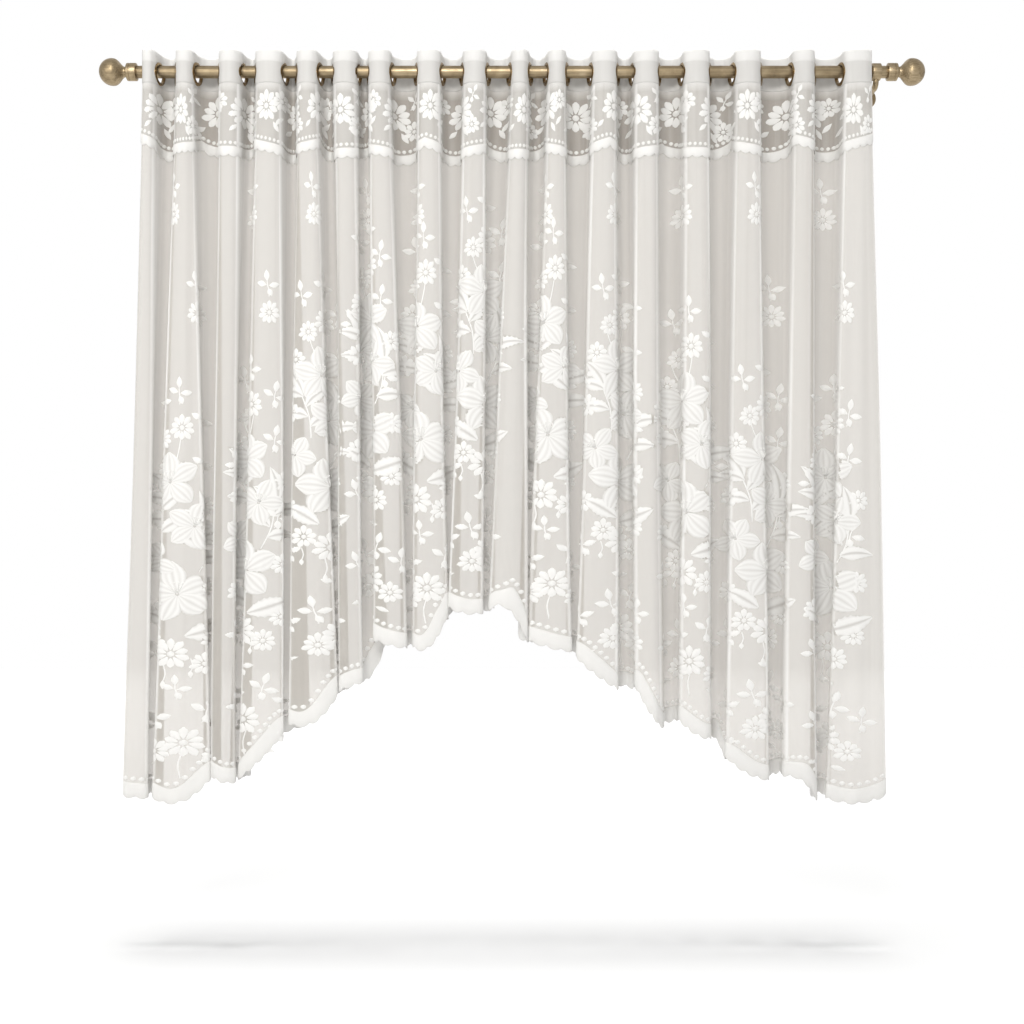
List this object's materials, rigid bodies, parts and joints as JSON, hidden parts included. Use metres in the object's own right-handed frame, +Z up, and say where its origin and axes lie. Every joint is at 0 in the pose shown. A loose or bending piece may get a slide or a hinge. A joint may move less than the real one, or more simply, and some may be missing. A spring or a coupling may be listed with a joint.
{
  "type": "lace eyelet curtain on a curtain rod",
  "caption": "Sheer white lace eyelet curtain with an attached valance and an arched scalloped hem, hung in folds on a brass curtain rod with ball finials and wall brackets.",
  "frame": {"origin": "on the wall, midway between the two brackets, at the height of the rod's axis", "axes": "+X along the rod to the viewer's right, +Y into the wall, +Z up; the room side faces -Y"},
  "size_m": [1.692, 0.1246, 1.53],
  "materials": {
    "lace": "sheer white net with opaque woven flowers, leaves and a scalloped border",
    "heading_cloth": "doubled white voile, matt, nearly opaque",
    "rod_brass": "antique brass, satin, fine turning lines",
    "eyelet_bronze": "bronzed brass, satin"
  },
  "bodies": {
    "root": {"rod": "rod_brass", "finial_left": "rod_brass", "finial_right": "rod_brass", "bracket_left": "rod_brass", "bracket_right": "rod_brass", "heading": "heading_cloth", "lace_panel": "lace", "lace_valance": "lace", "eyelet_01": "eyelet_bronze", "eyelet_02": "eyelet_bronze", "eyelet_03": "eyelet_bronze", "eyelet_04": "eyelet_bronze", "eyelet_05": "eyelet_bronze", "eyelet_06": "eyelet_bronze", "eyelet_07": "eyelet_bronze", "eyelet_08": "eyelet_bronze", "eyelet_09": "eyelet_bronze", "eyelet_10": "eyelet_bronze", "eyelet_11": "eyelet_bronze", "eyelet_12": "eyelet_bronze", "eyelet_13": "eyelet_bronze", "eyelet_14": "eyelet_bronze", "eyelet_15": "eyelet_bronze", "eyelet_16": "eyelet_bronze", "eyelet_17": "eyelet_bronze", "eyelet_18": "eyelet_bronze", "eyelet_19": "eyelet_bronze", "eyelet_20": "eyelet_bronze", "eyelet_21": "eyelet_bronze", "eyelet_22": "eyelet_bronze", "eyelet_23": "eyelet_bronze", "eyelet_24": "eyelet_bronze", "eyelet_25": "eyelet_bronze", "eyelet_26": "eyelet_bronze", "eyelet_27": "eyelet_bronze", "eyelet_28": "eyelet_bronze", "eyelet_29": "eyelet_bronze", "eyelet_30": "eyelet_bronze", "eyelet_31": "eyelet_bronze", "eyelet_32": "eyelet_bronze"}
  },
  "joints": []
}
